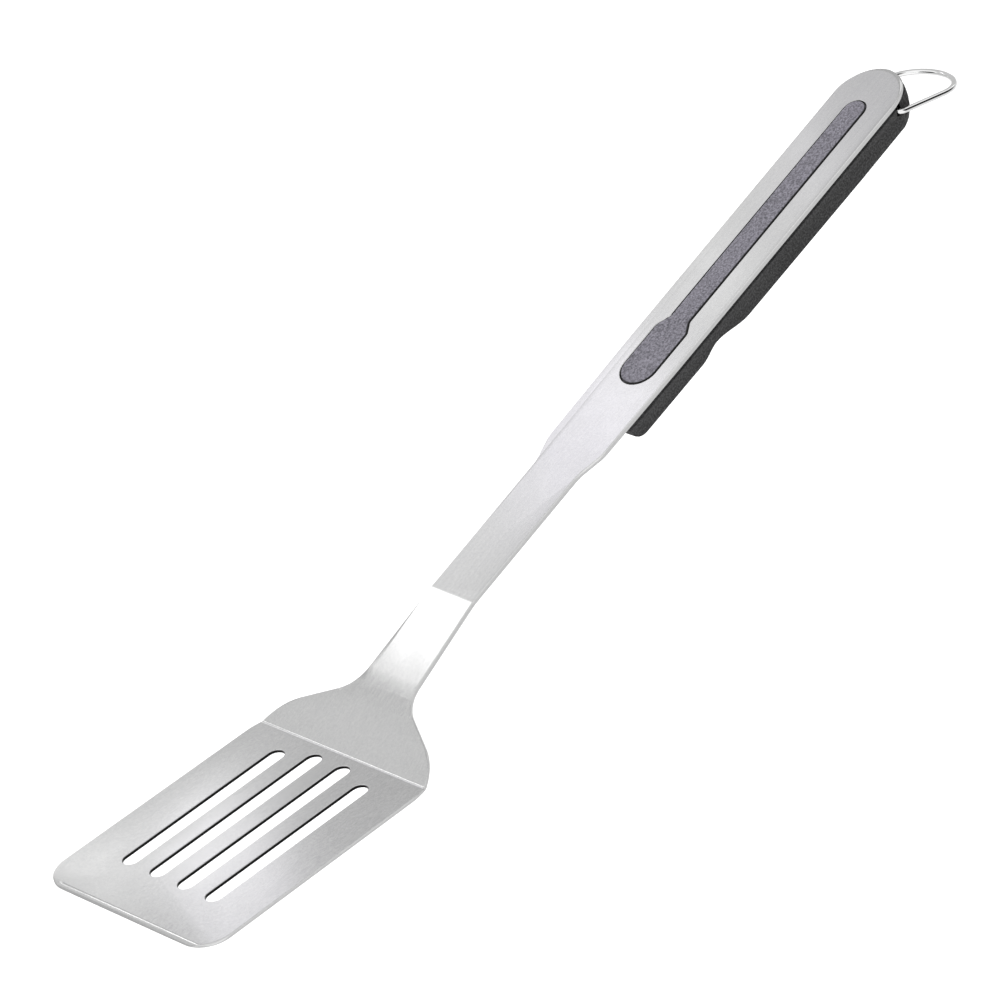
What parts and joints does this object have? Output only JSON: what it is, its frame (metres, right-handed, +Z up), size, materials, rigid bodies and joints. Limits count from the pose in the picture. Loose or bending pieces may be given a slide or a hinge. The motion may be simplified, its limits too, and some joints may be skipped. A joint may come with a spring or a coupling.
{
  "type": "grill spatula",
  "caption": "Long-handled slotted steel turner for a grill, with a screwed-on moulded grip, a raised soft inlay on top and a wire hanging loop that swings.",
  "frame": {"origin": "middle of the grip's flat underside, on the plane the spatula lies on (grip underside and blade crease)", "axes": "+X along the handle towards its rear end and the hanging loop, so the blade points to -X; +Y across the blade; +Z up, the side the inlay is on"},
  "size_m": [0.4753, 0.0938, 0.0441],
  "materials": {
    "brushed_steel": "fine brushing, satin",
    "grip_plastic": "fine matte grain",
    "inlay_rubber": "fine matte grain",
    "bright_wire": "bright drawn wire",
    "fixing_steel": "plain zinc-grey steel"
  },
  "bodies": {
    "spatula": {"spatula_body": "brushed_steel", "grip_shell": "grip_plastic", "grip_inlay": "inlay_rubber", "boss_rear": "fixing_steel", "boss_front": "fixing_steel", "grip_screw_1": "fixing_steel", "grip_screw_2": "fixing_steel", "grip_screw_3": "fixing_steel", "grip_screw_4": "fixing_steel"},
    "loop": {"hanging_loop": "bright_wire"}
  },
  "joints": [
    {"name": "loop_swing", "type": "hinge", "parent": "spatula", "child": "loop", "pos_m": [0.04564, 0, 0.00807], "axis": [0, -1, 0], "range_deg": [-2, 43]}
  ]
}
